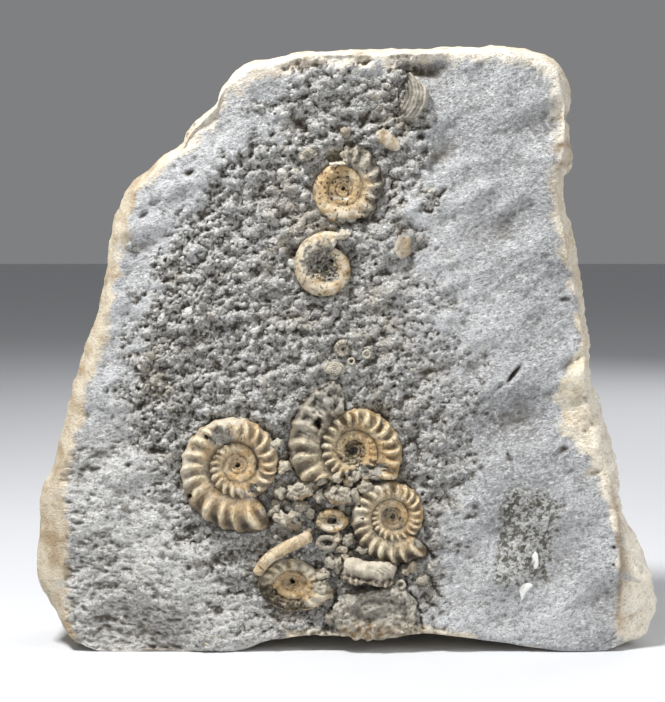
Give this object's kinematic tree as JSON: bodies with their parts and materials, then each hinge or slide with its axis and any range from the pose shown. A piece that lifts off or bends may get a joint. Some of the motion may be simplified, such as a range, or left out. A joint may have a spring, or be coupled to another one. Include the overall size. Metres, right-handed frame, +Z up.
{
  "type": "ammonite fossil cluster",
  "caption": "Freestanding slab of grey marl with ribbed ammonites, small coiled shells and bivalves standing out of its rough face.",
  "frame": {"origin": "middle of the cluster's footprint, on the surface that its two feet stand on", "axes": "+Z up, -Y out of the fossil face, +X to the right as seen from in front of that face"},
  "size_m": [0.1494, 0.0404, 0.1467],
  "materials": {
    "marl": "matt blue-grey, granular, cream where weathered",
    "honey_calcite": "satin honey to brown shell calcite",
    "pale_shell": "satin cream and grey shell"
  },
  "bodies": {
    "root": {"matrix_slab": "marl", "ammonite_left": "honey_calcite", "ammonite_centre": "honey_calcite", "ammonite_right": "honey_calcite", "ammonite_lower": "honey_calcite", "ammonite_top": "honey_calcite", "ammonite_upper": "honey_calcite", "ammonite_small": "honey_calcite", "ammonite_tiny": "honey_calcite", "whorl_on_edge": "honey_calcite", "ammonite_edge_on": "pale_shell", "ammonite_worn": "pale_shell", "bivalve_shell": "pale_shell", "shell_flat": "pale_shell", "shell_flake": "pale_shell", "shell_oval": "pale_shell", "shell_lump_left": "pale_shell", "shell_lump_right": "pale_shell"}
  },
  "joints": []
}
